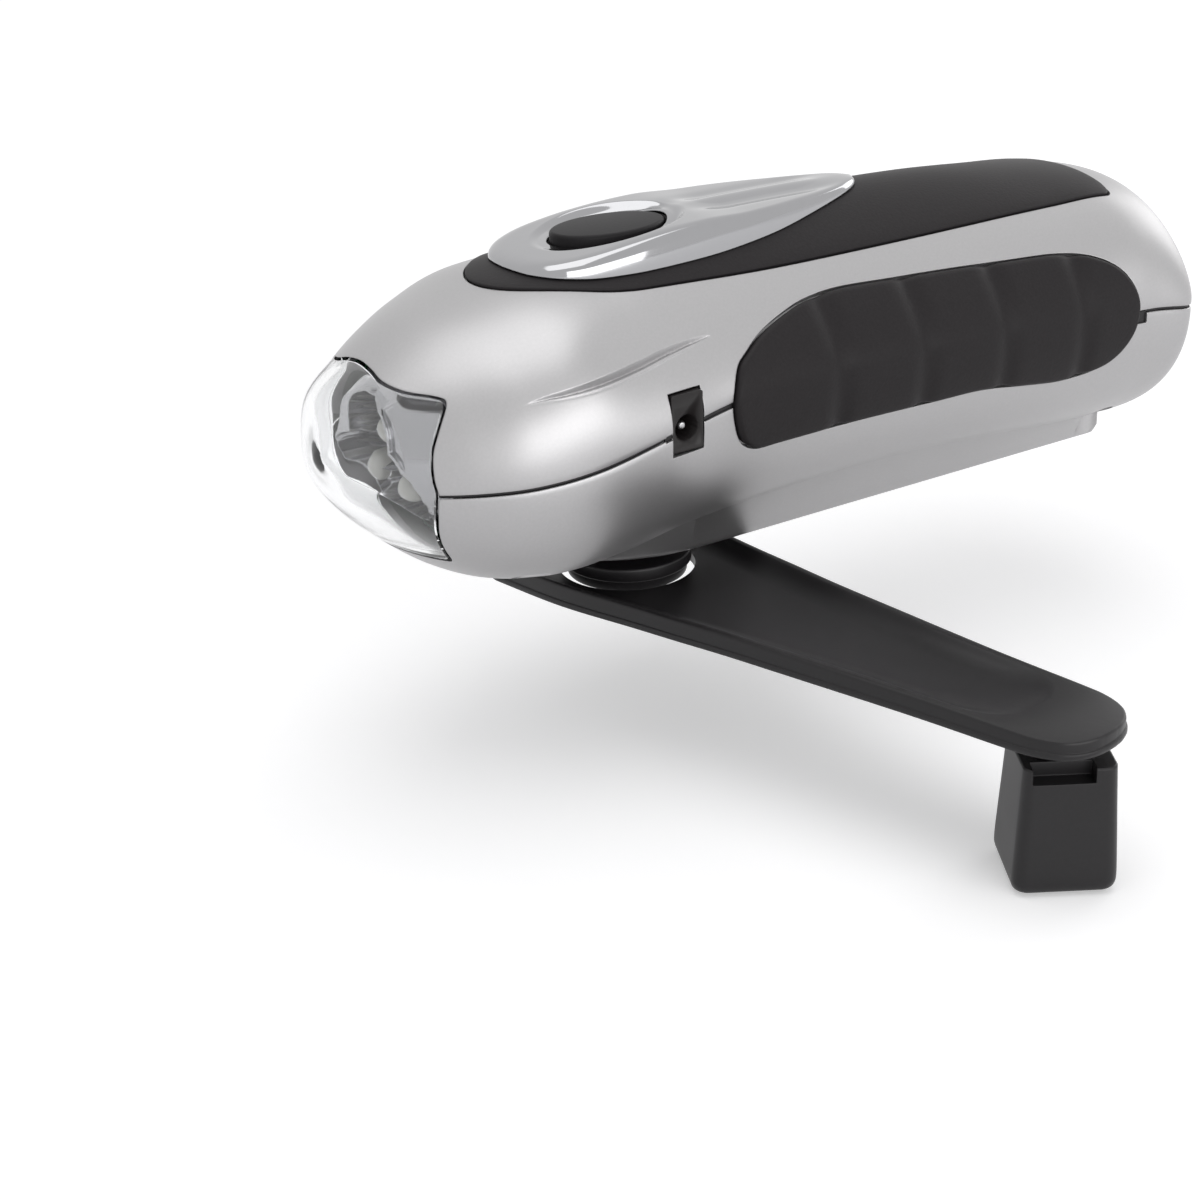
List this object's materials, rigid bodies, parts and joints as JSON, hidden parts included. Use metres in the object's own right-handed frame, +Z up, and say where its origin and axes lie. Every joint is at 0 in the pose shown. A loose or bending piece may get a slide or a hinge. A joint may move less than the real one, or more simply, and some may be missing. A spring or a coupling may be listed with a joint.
{
  "type": "emergency_flashlight",
  "caption": "Wind-up emergency torch with a silver body, clear nose, push button in a chrome bezel, charging socket and folding crank.",
  "frame": {"origin": "centre of the keel's flat underside", "axes": "+X towards the tail, -X the clear nose, +Y the far side, +Z up"},
  "size_m": [0.1518, 0.1156, 0.0773],
  "materials": {
    "silver_paint": "satin silver paint over moulded plastic",
    "black_rubber": "fine matt grain",
    "black_plastic": "moulded, slightly satin",
    "chrome": "bright plating on plastic",
    "clear_plastic": "clear, polished",
    "steel": "plain bright steel",
    "brass": "turned",
    "copper_wire": "wound enamelled wire",
    "white_nylon": "natural white",
    "green_board": "green coating",
    "battery_wrap": "shrink wrap",
    "magnet": "moulded magnet ring"
  },
  "bodies": {
    "housing": {"upper_shell": "silver_paint", "lower_shell": "silver_paint", "lens": "clear_plastic", "top_trim": "black_rubber", "grip_left": "black_rubber", "grip_right": "black_rubber", "button_bezel": "chrome", "switch_body": "black_plastic", "main_board": "green_board", "led_board": "green_board", "reflector": "chrome", "led_top": "clear_plastic", "led_left": "clear_plastic", "led_right": "clear_plastic", "charge_jack": "black_plastic", "jack_pin": "steel", "gear_plate": "black_plastic", "axle_1": "steel", "axle_2": "steel", "axle_3": "steel", "stator_cage": "steel", "generator_coil": "copper_wire", "battery_pack": "battery_wrap", "shaft_bush": "brass", "case_screw_1": "steel", "case_screw_2": "steel", "case_screw_3": "steel", "case_screw_4": "steel", "plate_screw_1": "steel", "plate_screw_2": "steel", "plate_screw_3": "steel", "plate_screw_4": "steel", "board_screw_1": "steel", "board_screw_2": "steel", "board_screw_3": "steel", "board_screw_4": "steel"},
    "button": {"button_cap": "black_rubber"},
    "plunger": {"switch_plunger": "white_nylon"},
    "crank": {"crank_shaft": "steel", "crank_hub": "black_plastic", "hub_screw": "steel", "drive_gear": "white_nylon", "hinge_pin": "steel"},
    "first_wheel": {"compound_gear_1": "white_nylon"},
    "second_wheel": {"compound_gear_2": "white_nylon"},
    "rotor": {"generator_rotor": "magnet"},
    "arm": {"crank_arm": "black_plastic", "knob_spindle": "steel"},
    "knob_body": {"knob": "black_plastic"}
  },
  "joints": [
    {"name": "crank_turn", "type": "hinge", "parent": "housing", "child": "crank", "pos_m": [-0.036, 0, 0], "axis": [0, 0, 1], "continuous": true},
    {"name": "arm_fold", "type": "hinge", "parent": "crank", "child": "arm", "pos_m": [-0.03873, 0.01404, -0.0036], "axis": [0.9816, 0.1908, 0], "range_deg": [0, 180]},
    {"name": "knob_spin", "type": "hinge", "parent": "arm", "child": "knob_body", "pos_m": [-0.02051, -0.07971, -0.0076], "axis": [0, 0, 1], "continuous": true},
    {"name": "button_press", "type": "slide", "parent": "housing", "child": "button", "axis": [0, 0, -1], "range_m": [0, 0.001], "stiffness_N_per_m": 300},
    {"name": "plunger_slide", "type": "slide", "parent": "housing", "child": "plunger", "axis": [0, 0, -1], "range_m": [0, 0.001]},
    {"name": "first_turn", "type": "hinge", "parent": "housing", "child": "first_wheel", "pos_m": [-0.0185, 0, 0.0122], "axis": [0, 0, 1], "continuous": true},
    {"name": "second_turn", "type": "hinge", "parent": "housing", "child": "second_wheel", "pos_m": [-0.006, 0, 0.0162], "axis": [0, 0, 1], "continuous": true},
    {"name": "rotor_turn", "type": "hinge", "parent": "housing", "child": "rotor", "pos_m": [0.0055, 0, 0.0255], "axis": [0, 0, 1], "continuous": true}
  ],
  "couplings": [
    {"joint": "plunger_slide", "follows": "button_press", "ratio": 1},
    {"joint": "first_turn", "follows": "crank_turn", "ratio": -4},
    {"joint": "second_turn", "follows": "crank_turn", "ratio": 16},
    {"joint": "rotor_turn", "follows": "crank_turn", "ratio": -57.6}
  ]
}
